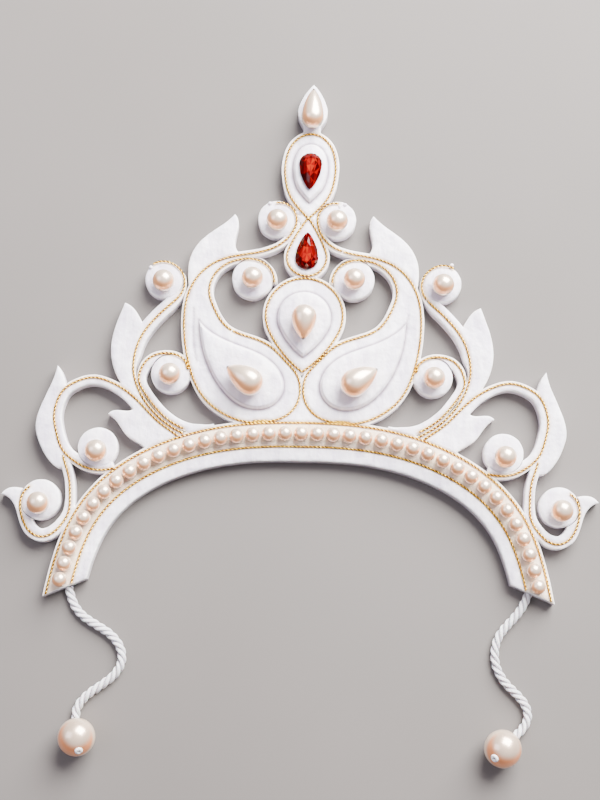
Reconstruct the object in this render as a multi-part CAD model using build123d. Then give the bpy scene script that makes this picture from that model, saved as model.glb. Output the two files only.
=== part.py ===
from build123d import *
import math
import os
from collections import namedtuple

# A bridal mukut crown, flat on its back: X to the right, Y towards the finial, Z out of its face.
# The origin is the middle of the back of the crown. All sizes are in millimetres.

# Overall sizes
crown_width = 236.0
crown_height = 215.0
plate_thickness = 6.0
fit_gap = 0.1
seat_gap = 0.1
zari_scrap = 0.5

# The head band
band_margin = 1.3
band_row = 9.7
band_hem = 5.7
band_pearl_diameter = 5.9
band_pearls = 39
band_pearl_setback = 6.4
leg_cut_rise = 0.42
leg_share = 0.89

# Scroll arms and the plates
arm_width = 5.4
body_margin = 1.3
disc_diameter = 16.2
curl_disc_diameter = 17.2
disc_bevel = 0.8
neck_radius = 3.7

# Raised pads, and the middle column, which leans a little as its maker glued it and takes the
# scrolls' upper ends sideways with it
pad_height = 2.4
pad_bevel_share = 0.86
pad_width_share = 0.71
finial_foot = 7.2
column_lean = 1.5
column_sway = 1.2

# Zari, the gold cord laid along every outline
zari_width = 0.9
zari_height = 0.8

# Pearls and stones
disc_pearl_diameter = 8.9
drop_pearl_width = 11.2
drop_pearl_length = 16.8
centre_pearl_width = 10.4
centre_pearl_length = 14.8
finial_pearl_width = 9.3
finial_pearl_length = 17.4
finial_pearl_drop = 1.0
pearl_shoulder = 2.0
centre_pearl_shoulder = 6.0
finial_pearl_shoulder = 2.0
pearl_flat_share = 0.1
stone_width = 9.4
stone_length = 15.6
stone_girdle = 0.9
stone_crown = 1.9
stone_waist = 0.48
stone_shoulder_share = 0.8
stone_shoulder_height = 0.62
stone_table_share = 0.52

# Ties
tie_diameter = 3.4
tie_clearance = 0.1
tie_pearl_diameter = 14.3
tie_rise = 1.5
tie_bore_depth = 2.4
tie_knot_diameter = 2.2
tie_knot_depth = 1.6
tie_knot_rise = 45.0
left_knot_heading = -68.0
right_knot_heading = -141.0

half_width = crown_width / 2
half_height = crown_height / 2
top = plate_thickness

# A station along a line: its place as shares of the half width and half height, and how far the
# arm reaches to the left and to the right of the line as shares of the arm's width.
Station = namedtuple("Station", "x y left right")

BAND_LINE = [
    (0.000, -0.348), (0.170, -0.355), (0.339, -0.386), (0.506, -0.453),
    (0.657, -0.565), (0.739, -0.675), (0.797, -0.822), (0.833, -1.000), (0.850, -1.110),
]

MIDDLE_ARM = [
    Station(0.368, -0.408, 0.13, 0.30), Station(0.427, -0.378, 0.13, 0.30),
    Station(0.476, -0.340, 0.13, 0.30), Station(0.525, -0.283, 0.13, 0.50),
    Station(0.559, -0.218, 0.13, 0.60), Station(0.574, -0.155, 0.13, 0.60),
    Station(0.571, -0.094, 0.42, 0.60), Station(0.552, -0.028, 0.46, 0.60),
    Station(0.510, 0.039, 0.46, 0.58), Station(0.460, 0.095, 0.44, 0.58),
    Station(0.424, 0.136, 0.22, 0.60), Station(0.409, 0.176, 0.10, 0.60),
    Station(0.417, 0.220, 0.12, 0.30),
]
MIDDLE_WRAP = [(0.447, 0.255), (0.483, 0.267), (0.522, 0.254)]

SMALL_ARM = [
    Station(0.288, -0.376, 0.44, 0.13), Station(0.340, -0.388, 0.60, 0.13),
    Station(0.395, -0.378, 0.56, 0.13), Station(0.447, -0.346, 0.52, 0.13),
    Station(0.494, -0.299, 0.50, 0.13), Station(0.531, -0.246, 0.50, 0.13),
    Station(0.554, -0.194, 0.50, 0.13), Station(0.545, -0.145, 0.50, 0.24),
    Station(0.520, -0.109, 0.50, 0.24), Station(0.482, -0.092, 0.50, 0.24),
    Station(0.439, -0.093, 0.30, 0.24), Station(0.403, -0.115, 0.20, 0.24),
    Station(0.384, -0.152, 0.10, 0.22),
]

LOOP_ARM = [
    Station(0.412, -0.406, 0.13, 0.60), Station(0.446, -0.381, 0.13, 0.60),
    Station(0.488, -0.347, 0.13, 0.70), Station(0.541, -0.289, 0.24, 0.70),
    Station(0.592, -0.240, 0.24, 0.58), Station(0.652, -0.203, 0.24, 0.50),
    Station(0.710, -0.188, 0.24, 0.50), Station(0.767, -0.205, 0.24, 0.50),
    Station(0.806, -0.235, 0.24, 0.52), Station(0.828, -0.282, 0.24, 0.54),
    Station(0.835, -0.342, 0.24, 0.54), Station(0.825, -0.396, 0.24, 0.54),
    Station(0.803, -0.459, 0.24, 0.58), Station(0.760, -0.504, 0.24, 0.60),
    Station(0.719, -0.528, 0.24, 0.60), Station(0.671, -0.536, 0.24, 0.60),
    Station(0.625, -0.527, 0.24, 0.60),
]

OUTER_ARM = [
    Station(0.799, -0.482, 0.38, 0.38), Station(0.790, -0.512, 0.36, 0.38),
    Station(0.774, -0.567, 0.36, 0.36), Station(0.768, -0.630, 0.36, 0.36),
    Station(0.771, -0.696, 0.44, 0.34), Station(0.796, -0.744, 0.50, 0.34),
    Station(0.827, -0.775, 0.58, 0.36), Station(0.860, -0.784, 0.60, 0.36),
    Station(0.897, -0.765, 0.62, 0.34), Station(0.923, -0.718, 0.62, 0.30),
    Station(0.933, -0.665, 0.40, 0.26), Station(0.926, -0.629, 0.20, 0.10),
]
OUTER_WRAP = [(0.900, -0.598)]

PAISLEY_WRAP = [(0.112, 0.508), (0.080, 0.507), (0.055, 0.490)]
PAISLEY_LINE = [
    Station(0.039, 0.460, 0.26, 0.26), Station(0.0375, 0.425, 0.26, 0.26),
    Station(0.0505, 0.388, 0.26, 0.26), Station(0.082, 0.347, 0.28, 0.28),
    Station(0.131, 0.3185, 0.31, 0.28), Station(0.220, 0.298, 0.31, 0.20), Station(0.297, 0.273, 0.24, 0.20),
    Station(0.353, 0.227, 0.24, 0.20), Station(0.392, 0.154, 0.24, 0.20),
    Station(0.407, 0.028, 0.24, 0.20), Station(0.388, -0.121, 0.24, 0.20),
    Station(0.332, -0.257, 0.24, 0.20), Station(0.268, -0.315, 0.24, 0.20),
    Station(0.195, -0.346, 0.24, 0.20), Station(0.112, -0.345, 0.24, 0.20),
    Station(0.062, -0.329, 0.24, 0.20), Station(0.027, -0.297, 0.24, 0.20),
    Station(0.0075, -0.250, 0.24, 0.20), Station(0.0060, -0.212, 0.24, 0.20),
    Station(0.0125, -0.178, 0.24, 0.20), Station(0.0250, -0.153, 0.24, 0.20),
    Station(0.0430, -0.130, 0.24, 0.20), Station(0.0760, -0.092, 0.24, 0.20),
    Station(0.1040, -0.063, 0.24, 0.20), Station(0.160, -0.031, 0.24, 0.20),
    Station(0.258, 0.013, 0.26, 0.20),
    Station(0.308, 0.093, 0.30, 0.20), Station(0.324, 0.158, 0.30, 0.20),
    Station(0.301, 0.229, 0.28, 0.20), Station(0.252, 0.270, 0.26, 0.18),
    Station(0.203, 0.283, 0.26, 0.12), Station(0.149, 0.273, 0.24, 0.24),
    Station(0.113, 0.240, 0.20, 0.24), Station(0.100, 0.190, 0.14, 0.22),
]
PAISLEY_BODY = slice(5, 31)

# Leaves: up one edge to the tip, down the other, and a point that the base curves through. The ends
# and the base lie inside what carries the leaf.
PAISLEY_LEAF = ([(0.215, 0.300), (0.235, 0.325), (0.233, 0.392), (0.229, 0.428), (0.242, 0.463)],
                [(0.298, 0.409), (0.362, 0.350), (0.396, 0.275), (0.398, 0.200), (0.392, 0.140)],
                (0.330, 0.230))
MIDDLE_LEAF = ([(0.530, -0.005), (0.554, 0.036), (0.583, 0.083), (0.613, 0.104)],
               [(0.636, 0.033), (0.652, -0.040), (0.653, -0.098), (0.640, -0.156), (0.605, -0.222),
                (0.562, -0.262)],
               (0.572, -0.130))
LOOP_LEAF = ([(0.800, -0.238), (0.803, -0.212), (0.813, -0.176), (0.834, -0.141)],
             [(0.862, -0.240), (0.889, -0.318), (0.897, -0.376), (0.880, -0.441), (0.850, -0.497),
              (0.811, -0.530), (0.779, -0.500)],
             (0.828, -0.350))
SMALL_LEAF = ([(0.560, -0.285), (0.585, -0.312), (0.623, -0.310), (0.654, -0.324)],
              [(0.620, -0.358), (0.586, -0.407), (0.541, -0.438), (0.490, -0.480), (0.400, -0.440)],
              (0.480, -0.360))
HOOK_LEAF = ([(0.890, -0.620), (0.921, -0.610), (0.961, -0.604), (1.000, -0.630)],
             [(0.956, -0.665), (0.930, -0.740), (0.898, -0.786), (0.870, -0.790)],
             (0.910, -0.710))
CENTRE_WEB = ([(-0.080, -0.372), (-0.020, -0.290), (0.000, -0.235)],
              [(0.020, -0.290), (0.080, -0.372)],
              (0.000, -0.390))

# Raised pad of a paisley, from its tip round to its tip
PAISLEY_PAD = [
    (0.356, 0.040), (0.343, -0.067), (0.313, -0.158), (0.256, -0.248), (0.174, -0.300),
    (0.099, -0.287), (0.060, -0.222), (0.075, -0.154), (0.123, -0.101), (0.234, -0.049),
    (0.312, -0.006),
]

# Places of the discs, and how far below its disc's middle each pearl is glued, as a share of the
# disc's diameter
Disc = namedtuple("Disc", "name x y diameter setback")
DISCS = [
    Disc("outer_disc", 0.868, -0.647, disc_diameter, 0.12),
    Disc("loop_disc", 0.684, -0.450, disc_diameter, 0.13),
    Disc("small_disc", 0.447, -0.167, disc_diameter, 0.07),
    Disc("middle_disc", 0.480, 0.199, disc_diameter, 0.11),
    Disc("curl_disc", 0.175, 0.209, curl_disc_diameter, 0.065),
    Disc("upper_disc", 0.104, 0.447, disc_diameter, 0.12),
]

# A drop on the middle line: its width and length along the zari, the height of its round end's
# centre as a share of the half height, whether its tip points up, how far the plate reaches beyond
# the zari, and how far below the round end's centre its pad is centred. Its sides are the angle of
# its shoulders, or a table: from the tip to the round end, shares of the half width and the length.
# The finial's height follows from the crown's.
Drop = namedtuple("Drop", "width length y up margin belly sides")
UPPER_SIDES = [
    (0.150, 0.042), (0.381, 0.112), (0.608, 0.190), (0.800, 0.286), (0.905, 0.375),
    (0.970, 0.470), (1.000, 0.575), (0.980, 0.672), (0.915, 0.763), (0.795, 0.850),
    (0.560, 0.935), (0.290, 0.984), (0.000, 1.000),
]
FINIAL_SIDES = [
    (0.330, 0.107), (0.560, 0.204), (0.730, 0.300), (0.875, 0.400), (0.970, 0.480),
    (1.000, 0.560), (0.975, 0.640), (0.890, 0.720), (0.740, 0.800), (0.560, 0.880),
    (0.320, 0.960), (0.000, 1.000),
]
CENTRE_DROP = Drop(31.2, 39.0, 0.064, False, 1.3, 4.0, 26.0)
UPPER_DROP = Drop(21.0, 36.8, 0.694, False, 1.5, 4.9, UPPER_SIDES)
LOWER_DROP = Drop(16.2, 24.6, 0.294, True, 1.3, 0.0, 22.0)
FINIAL = Drop(12.4, 21.6, None, True, 0.0, 0.0, FINIAL_SIDES)
neck_y = 0.448
sway_foot = 0.30
sway_head = 0.41

# Where the round ends of the drop pearls and stones sit, as shares of the half height and width
CENTRE_PEARL_Y = 0.041
UPPER_STONE_Y = 0.658
LOWER_STONE_Y = 0.287
PAISLEY_PEARL = (0.175, -0.209)
paisley_pearl_heading = 32.5

# Route of each tie on the surface, from the leg's end face to the bottom of its pearl's bore
LEFT_TIE = [
    (-90.0, -103.472), (-88.45, -107.16), (-86.0, -110.8), (-82.3, -114.6), (-77.0, -117.9),
    (-71.6, -121.5), (-68.0, -126.4), (-67.2, -132.4), (-69.2, -138.0), (-73.7, -142.1),
    (-78.9, -145.2), (-82.2, -150.3), (-82.9, -156.6),
]
RIGHT_TIE = [
    (90.0, -103.472), (88.45, -107.16), (86.0, -111.1), (81.9, -115.0), (77.8, -119.5),
    (75.4, -125.0), (75.6, -130.8), (78.3, -135.9), (82.8, -139.6), (86.0, -144.2),
    (86.8, -149.9), (84.8, -155.3), (80.75, -159.45),
]


def spot(x, y, z=0.0):
    """A place on the crown from its shares."""
    return Vector(x * half_width, y * half_height, z)


def swayed(x, y, sway):
    """A place beside the column, moved with it: not at all at the sway's foot, fully at its head."""
    share = (y - sway_foot) / (sway_head - sway_foot)
    return spot(x, y) + Vector(sway * min(1.0, max(0.0, share)), 0)


def spline(points):
    return Edge.make_spline([Vector(*p) for p in points])


def lerp(values, knots, t):
    """The value at t between the knots."""
    for i in range(len(knots) - 1):
        if t <= knots[i + 1]:
            share = (t - knots[i]) / (knots[i + 1] - knots[i])
            return values[i] + share * (values[i + 1] - values[i])
    return values[-1]


def knots_of(points):
    """How far along the line each point lies, from 0 to 1."""
    far = [0.0]
    for a, b in zip(points, points[1:]):
        far.append(far[-1] + (b - a).length)
    return [f / far[-1] for f in far]


def shifted(points, widths, steps=4):
    """Points beside a line through the points: positive widths lie to the left of travel."""
    line = spline(points)
    knots = knots_of(points)
    count = steps * (len(points) - 1)
    out = []
    for i in range(count + 1):
        t = i / count
        along = line.tangent_at(t)
        aside = Vector(-along.Y, along.X, 0)
        out.append(line.position_at(t) + aside * lerp(widths, knots, t))
    return out


def ring(edges):
    """A flat face inside a closed chain of edges."""
    return Face(Wire(edges))


def slab(face, height=plate_thickness, z=0.0):
    """A flat face drawn at zero, raised into a slab that starts at z."""
    flat = face if face.normal_at().Z > 0 else -face
    return Solid.extrude(flat, Vector(0, 0, height)).moved(Location((0, 0, z)))


def strip_face(points, left, right, steps=4):
    """A face along a line, with its widths to each side given at each point."""
    side_a = shifted(points, left, steps)
    side_b = shifted(points, [-w for w in right], steps)
    return ring([
        spline(side_a), Edge.make_line(side_a[-1], side_b[-1]),
        spline(list(reversed(side_b))), Edge.make_line(side_b[0], side_a[0]),
    ])


def arm(stations, grow=0.0, sway=0.0):
    """A scroll arm about its line."""
    points = [swayed(s.x, s.y, sway) for s in stations]
    left = [s.left * arm_width + grow for s in stations]
    right = [s.right * arm_width + grow for s in stations]
    return slab(strip_face(points, left, right))


def leaf(outline, height=plate_thickness, z=0.0):
    """A leaf from its two edges, which meet at the tip, and its curved base."""
    first = [spot(*p) for p in outline[0]]
    second = [first[-1]] + [spot(*p) for p in outline[1]]
    base = Edge.make_three_point_arc(second[-1], spot(*outline[2]), first[0])
    return slab(ring([spline(first), spline(second), base]), height, z)


def main_solid(shape):
    """The one body of a cut piece."""
    return max(shape.solids(), key=lambda s: s.volume)


def mirrored(shape):
    return shape.mirror(Plane.YZ)


def both(build):
    """The pieces of both sides by full name, from what builds a right side with a given sway."""
    named = {}
    for name, solid in build(column_sway).items():
        named["right_" + name] = solid
    for name, solid in build(-column_sway).items():
        named["left_" + name] = mirrored(solid)
    return named


def leaned(shape):
    """A piece of the middle column, turned about the tip of the centre drop."""
    return shape.rotate(Axis(column_foot(), (0, 0, 1)), -column_lean)


def column_foot():
    """The tip of the centre drop, where the column starts to lean."""
    return spot(0, CENTRE_DROP.y) - Vector(0, CENTRE_DROP.length - CENTRE_DROP.width / 2)


def teardrop(drop, grow=0.0, share=1.0):
    """A drop that points down the Y axis, its round end about the origin."""
    r = (drop.width / 2 + grow) * share
    length = (drop.length + 2 * grow) * share
    tip = length - r
    if isinstance(drop.sides, list):
        side = [(x * r, y * length - tip) for x, y in [(0.0, 0.0)] + drop.sides]
        return [spline(side + [(-x, y) for x, y in reversed(side[:-1])])]
    a = math.radians(drop.sides)
    right = Vector(r * math.cos(a), -r * math.sin(a))
    left = Vector(-right.X, right.Y)
    point = Vector(0, -tip)
    flank = Edge.make_tangent_arc(right, Vector(-math.sin(a), -math.cos(a)), point)
    other = Edge.make_tangent_arc(left, Vector(math.sin(a), -math.cos(a)), point)
    crown = Edge.make_three_point_arc(right, Vector(0, r), left)
    return [crown, other, flank]


def drop_face(drop, grow=0.0):
    """A drop in its place on the middle line, so much wider all round."""
    face = ring(teardrop(drop, grow))
    turned = face.rotate(Axis.Z, 180) if drop.up else face
    return turned.moved(Location(spot(0, drop.y)))


def bevelled_drop(drop, z):
    """A raised pad on a drop, narrower at its top."""
    wires = []
    for share, rise in ((pad_width_share, 0.0), (pad_width_share * pad_bevel_share, pad_height)):
        place = spot(0, drop.y, z + rise) - Vector(0, drop.belly * (1 - share))
        wires.append(Wire(teardrop(drop, 0.0, share)).moved(Location(place)))
    return Solid.make_loft(wires)


def disc(place, diameter):
    body = Solid.make_cylinder(diameter / 2, plate_thickness, Plane(place))
    rim = [e for e in body.edges() if e.geom_type == GeomType.CIRCLE and e.center().Z > top / 2]
    return body.chamfer(disc_bevel, None, rim)


def disc_hole(place, diameter):
    """The room that a disc and its gap take out of a neighbour."""
    return Solid.make_cylinder(diameter / 2 + fit_gap, 3 * top, Plane(place - Vector(0, 0, top)))


def disc_places(sway):
    """The middle of each disc of the right side's back, and its diameter, by name."""
    return {d.name: (swayed(d.x, d.y, sway), d.diameter) for d in DISCS}


def band_line():
    """The line of the band's outer zari, from the left leg over the top to the right leg."""
    right = [spot(x, y) for x, y in BAND_LINE]
    left = [Vector(-p.X, p.Y) for p in reversed(right[1:])]
    return left + right


def leg_cutter():
    """What lies beyond the slanting ends of both legs."""
    outer = spot(BAND_LINE[-2][0], -1.0)
    corner_x = outer.X + band_margin
    reach = 2 * (band_row + band_hem)
    below = -half_height - 2 * reach
    face = Face(Wire.make_polygon([
        Vector(corner_x, -half_height), Vector(corner_x - reach, -half_height + reach * leg_cut_rise),
        Vector(corner_x - reach, below), Vector(corner_x + reach, below),
        Vector(corner_x + reach, -half_height - reach * leg_cut_rise),
    ]))
    one = slab(face, 3 * top, -top)
    return one, mirrored(one)


def band_shares():
    """How the band narrows from the middle to each leg, a share for each point of its line."""
    steps = len(BAND_LINE) - 1
    right = [1 - (1 - leg_share) * i / steps for i in range(steps + 1)]
    return list(reversed(right[1:])) + right


def band_strip(outside, inside, height=plate_thickness, z=0.0):
    """A strip along the band: how far it reaches outside and inside its line in the middle."""
    points = band_line()
    shares = band_shares()
    body = slab(strip_face(points, [outside] * len(points), [inside * f for f in shares]), height, z)
    return cut(body, leg_cutter())


def band_zari(inside):
    """A zari line along the band, so far inside its line in the middle."""
    points = shifted(band_line(), [-inside * f for f in band_shares()], 2)
    return cut(zari_strip(points), leg_cutter())


def band_outside(grow=0.0):
    """Everything inside the band's outer edge, as a cutter for what stands on the band."""
    points = band_line()
    edge = shifted(points, [band_margin + grow] * len(points))
    face = ring([spline(edge), Edge.make_line(edge[-1], edge[0])])
    return slab(face, 3 * top, -top)


def zari_strip(points, z=top + seat_gap):
    """A stretch of zari laid along the points."""
    half = [zari_width / 2] * len(points)
    return slab(strip_face(points, half, half, 5), zari_height, z)


def zari_loop(drop):
    """A closed stretch of zari round a drop."""
    outer = slab(drop_face(drop, zari_width / 2), zari_height, top + seat_gap)
    return main_solid(outer - tall(drop_face(drop, -zari_width / 2)))


def zari_room(points):
    """The room that a stretch of zari takes from another."""
    half = [zari_width / 2 + fit_gap] * len(points)
    return tall(strip_face(points, half, half, 5))


def trimmed(bodies, cutters):
    """What is left of zari where other pieces cross it, without tiny scraps."""
    for cutter in cutters:
        bodies = [s for b in bodies for s in (b - cutter).solids() if s.volume > zari_scrap]
    return bodies


def sphere_pearl(diameter, place):
    """A pearl with a flat underside, seated at place."""
    sunk = diameter * pearl_flat_share
    ball = Solid.make_sphere(diameter / 2, angle1=-90, angle2=90, angle3=360)
    centre = place + Vector(0, 0, diameter / 2 - sunk)
    floor = Solid.make_box(2 * diameter, 2 * diameter, diameter,
                           Plane(place - Vector(diameter, diameter, diameter)))
    return main_solid(ball.moved(Location(centre)) - floor)


def drop_pearl(width, length, place, heading, shoulder_angle):
    """A drop pearl lying on its flat side, its tip towards the heading in degrees."""
    r = width / 2
    tip = length - r
    shoulder = math.radians(shoulder_angle)
    knee = Vector(r * math.sin(shoulder), r * math.cos(shoulder))
    start = Vector(-r, 0)
    point = Vector(tip, 0)
    along = Vector(math.cos(shoulder), -math.sin(shoulder))
    profile = Face(Wire([
        Edge.make_three_point_arc(start, Vector(0, r), knee),
        Edge.make_tangent_arc(knee, along, point), Edge.make_line(point, start),
    ]))
    body = Solid.revolve(profile, 360, Axis.X)
    sunk = width * pearl_flat_share
    turned = body.rotate(Axis.Z, heading).moved(Location(place + Vector(0, 0, r - sunk)))
    floor = Solid.make_box(4 * length, 4 * length, length,
                           Plane(place - Vector(2 * length, 2 * length, length)))
    return main_solid(turned - floor)


def pear_stone(place, up):
    """A pear cut stone with a flat table, facets above its girdle and a flat back."""
    r = stone_width / 2
    tip = stone_length - r
    girdle = []
    for degrees in (270, 300, 330, 0, 30, 60, 90, 120, 150, 180, 210, 240):
        a = math.radians(degrees)
        pull = max(0.0, -math.sin(a))
        girdle.append((r * math.cos(a) * (1 - stone_waist * pull * pull),
                       r * math.sin(a) if pull == 0 else -tip * pull))
    layers = [(1.0, 0.0), (1.0, stone_girdle),
              (stone_shoulder_share, stone_girdle + stone_shoulder_height * stone_crown),
              (stone_table_share, stone_girdle + stone_crown)]
    wires = []
    for share, z in layers:
        wires.append(Wire.make_polygon([Vector(x * share, y * share, z) for x, y in girdle]))
    body = Solid.make_loft(wires, ruled=True)
    turned = body.rotate(Axis.Z, 180) if up else body
    return turned.moved(Location(place))


def tie(route):
    """A tie on the surface, as straight runs joined by tangent arcs, and its last point."""
    z = tie_diameter / 2
    points = [Vector(x, y, z) for x, y in route]
    points[-1] += Vector(0, 0, tie_rise)
    radii = []
    for before, here, after in zip(points, points[1:], points[2:]):
        turn = math.radians((here - before).get_angle(after - here))
        run = min((here - before).length, (after - here).length)
        radii.append(0.45 * run / math.tan(turn / 2))
    print("tie radii", [round(r, 1) for r in radii])
    path = FilletPolyline(*points, radius=radii)
    start = Plane(points[0], z_dir=points[1] - points[0])
    body = sweep(start * Circle(tie_diameter / 2), path=path)
    expected = path.length * math.pi * tie_diameter ** 2 / 4
    print("tie length", round(path.length, 1), "volume", round(body.volume / expected, 4))
    return body.solid(), points


def tie_pearl(points, knot_heading):
    """The pearl at a tie's end: bored for the tie, with a small hole opposite for its knot."""
    heading = (points[-1] - points[-2]).normalized()
    r = tie_pearl_diameter / 2
    low = r - points[-1].Z
    reach = math.sqrt(r * r - low * low) - tie_bore_depth
    level = Vector(heading.X, heading.Y, 0).normalized()
    centre = points[-1] + level * reach + Vector(0, 0, low)
    ball = Solid.make_sphere(r, angle1=-90, angle2=90, angle3=360).moved(Location(centre))
    bore = Solid.make_cylinder(tie_diameter / 2 + tie_clearance, tie_bore_depth + r,
                               Plane(points[-1], z_dir=-heading))
    rise = math.radians(tie_knot_rise)
    turn = math.radians(knot_heading)
    out = Vector(math.cos(rise) * math.cos(turn), math.cos(rise) * math.sin(turn), math.sin(rise))
    knot = Solid.make_cylinder(tie_knot_diameter / 2, r,
                               Plane(centre + out * (r - tie_knot_depth), z_dir=out))
    return main_solid(main_solid(ball - bore) - knot)


def tall(solid_face):
    """A cutter through the whole thickness."""
    return slab(solid_face, 3 * top, -top)


def cut(body, cutters):
    """The main body left when neighbours have taken their room."""
    for cutter in cutters:
        body = main_solid(body - cutter)
    return body


def stone_plate_pieces(grow=0.0):
    """The two drops of the stone plate and the neck between them."""
    upper = drop_face(UPPER_DROP, UPPER_DROP.margin + grow)
    lower = drop_face(LOWER_DROP, LOWER_DROP.margin + grow)
    neck = Face(Wire.make_circle(neck_radius + grow)).moved(Location(spot(0, neck_y)))
    return [upper, lower, neck]


def column_rooms():
    """The room of the centre drop and of the stone plate, as they lean."""
    centre = leaned(tall(drop_face(CENTRE_DROP, CENTRE_DROP.margin + fit_gap)))
    return centre, [leaned(tall(face)) for face in stone_plate_pieces(fit_gap)]


def finial_drop():
    """The finial's drop, placed so that its tip is the crown's top once it leans."""
    foot = column_foot().Y
    tip = foot + (half_height - foot) / math.cos(math.radians(column_lean))
    middle = tip - (FINIAL.length - FINIAL.width / 2)
    return FINIAL._replace(y=middle / half_height)


def finial():
    """The leaf that stands on the top drop, with the foot that it stands on."""
    drop = finial_drop()
    plate_top = UPPER_DROP.y * half_height + UPPER_DROP.width / 2
    foot = Solid.make_box(finial_foot, drop.y * half_height - plate_top, plate_thickness,
                          Plane(Vector(-finial_foot / 2, plate_top, 0)))
    return main_solid(slab(drop_face(drop)) + foot)


def build_plates():
    """The carved plates by name."""
    centre_room, stone_room = column_rooms()
    right, left = disc_places(column_sway), disc_places(-column_sway)
    parts = {}

    # The middle column
    centre_drop = leaned(slab(drop_face(CENTRE_DROP, CENTRE_DROP.margin)))
    parts["centre_drop"] = cut(centre_drop, [disc_hole(*right["curl_disc"]),
                                             mirrored(disc_hole(*left["curl_disc"]))])
    pieces = [slab(face) for face in stone_plate_pieces()]
    stone_plate = leaned(main_solid(pieces[0] + pieces[1] + pieces[2]))
    parts["stone_plate"] = cut(stone_plate, [centre_room, disc_hole(*right["upper_disc"]),
                                             mirrored(disc_hole(*left["upper_disc"]))])
    parts["finial"] = cut(leaned(finial()), stone_room[:1])

    # The band, with the web that fills the corner between the two paisleys
    paisley_room = arm(PAISLEY_LINE, fit_gap)
    web = cut(leaf(CENTRE_WEB), [paisley_room, mirrored(paisley_room), centre_room])
    parts["band"] = main_solid(band_strip(band_margin, band_row + band_hem) + web)

    parts.update(both(side_plates))
    for name in ("right_paisley", "left_paisley"):
        parts[name] = cut(parts[name], [centre_room] + stone_room)
    return parts


def side_plates(sway):
    """The discs, the paisley and the scrolls of the right side."""
    discs = disc_places(sway)
    holes = [disc_hole(*place) for place in discs.values()]
    outside = band_outside(fit_gap)
    paisley_room = arm(PAISLEY_LINE, fit_gap, sway)
    middle_room = arm(MIDDLE_ARM, fit_gap)
    loop_room = arm(LOOP_ARM, fit_gap)
    side = {name: disc(*place) for name, place in discs.items()}
    points = [spot(s.x, s.y) for s in PAISLEY_LINE][PAISLEY_BODY]
    body = slab(ring([spline(points), Edge.make_line(points[-1], points[0])]))
    paisley = main_solid(body + arm(PAISLEY_LINE, 0.0, sway) + cut(leaf(PAISLEY_LEAF), [middle_room]))
    side["paisley"] = cut(paisley, [outside, beyond_middle()] + holes)
    middle_scroll = main_solid(arm(MIDDLE_ARM) + leaf(MIDDLE_LEAF))
    side["middle_scroll"] = cut(middle_scroll, holes + [outside, loop_room, paisley_room])
    side["small_scroll"] = cut(arm(SMALL_ARM), holes + [outside, paisley_room, middle_room])
    loop_scroll = main_solid(arm(LOOP_ARM) + leaf(LOOP_LEAF) + leaf(SMALL_LEAF))
    side["loop_scroll"] = cut(loop_scroll, holes + [outside])
    loop_leaf = leaf(LOOP_LEAF, 3 * top, -top)
    outer_scroll = main_solid(arm(OUTER_ARM) + leaf(HOOK_LEAF))
    side["outer_scroll"] = cut(outer_scroll, holes + [outside, loop_room, loop_leaf])
    return side


def beyond_middle():
    """What lies beyond the middle line, seen from the right side."""
    return Solid.make_box(crown_width, crown_height, 3 * top,
                          Plane(Vector(fit_gap / 2 - crown_width, -half_height, -top)))


def build_zari():
    """The gold cords by name: along the band, round the drops, and those of each side."""
    loops = [zari_loop(drop) for drop in (CENTRE_DROP, UPPER_DROP, LOWER_DROP)]
    column = [leaned(loops[0]), leaned(main_solid(loops[1] + loops[2]))]
    reach = zari_width / 2 + fit_gap
    column_room = [leaned(tall(drop_face(drop, reach)))
                   for drop in (CENTRE_DROP, UPPER_DROP, LOWER_DROP)]
    right = side_zari(column_sway)
    left = [mirrored(line) for line in side_zari(-column_sway)]
    return {
        "band_zari": Compound([band_zari(0), band_zari(band_row)]),
        "middle_zari": Compound(column),
        "right_zari": Compound(trimmed(right, column_room)),
        "left_zari": Compound(trimmed(left, column_room)),
    }


def side_zari(sway):
    """The gold cords of the right side, clear of each other and of the band's."""
    band_side = band_outside(zari_width / 2 + fit_gap - band_margin)
    places = PAISLEY_WRAP + [(s.x, s.y) for s in PAISLEY_LINE]
    paisley_line = [swayed(x, y, sway) for x, y in places]
    lines = []
    for stations, after, first in ((MIDDLE_ARM, MIDDLE_WRAP, 0), (SMALL_ARM, [], 2),
                                   (LOOP_ARM, [], 0), (OUTER_ARM, OUTER_WRAP, 0)):
        points = [spot(s.x, s.y) for s in stations[first:]] + [spot(*p) for p in after]
        lines.append(zari_strip(points))
    return (trimmed([zari_strip(paisley_line)], [band_side])
            + trimmed(lines, [band_side, zari_room(paisley_line)]))


def build_pads():
    """The raised pads by name."""
    over = top + seat_gap
    outline = [spot(*p) for p in PAISLEY_PAD]
    outline.append(outline[0])
    middle = sum(outline, Vector()) / len(outline)
    low = Wire([spline([Vector(p.X, p.Y, over) for p in outline])])
    high = Wire([spline([middle + (p - middle) * pad_bevel_share + Vector(0, 0, over + pad_height)
                         for p in outline])])
    pads = both(lambda sway: {"paisley_pad": Solid.make_loft([low, high])})
    pads["centre_pad"] = leaned(bevelled_drop(CENTRE_DROP, over))
    pads["stone_pad"] = leaned(bevelled_drop(UPPER_DROP, over))
    return pads


def side_pearls(sway):
    """The pearls of the right side."""
    on_pad = top + seat_gap + pad_height + seat_gap
    side = {"paisley_pearl": drop_pearl(drop_pearl_width, drop_pearl_length,
                                        spot(*PAISLEY_PEARL, on_pad), paisley_pearl_heading,
                                        pearl_shoulder)}
    for d in DISCS:
        place = swayed(d.x, d.y, sway) + Vector(0, -d.setback * d.diameter, top + seat_gap)
        side[d.name.replace("disc", "pearl")] = sphere_pearl(disc_pearl_diameter, place)
    return side


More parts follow.
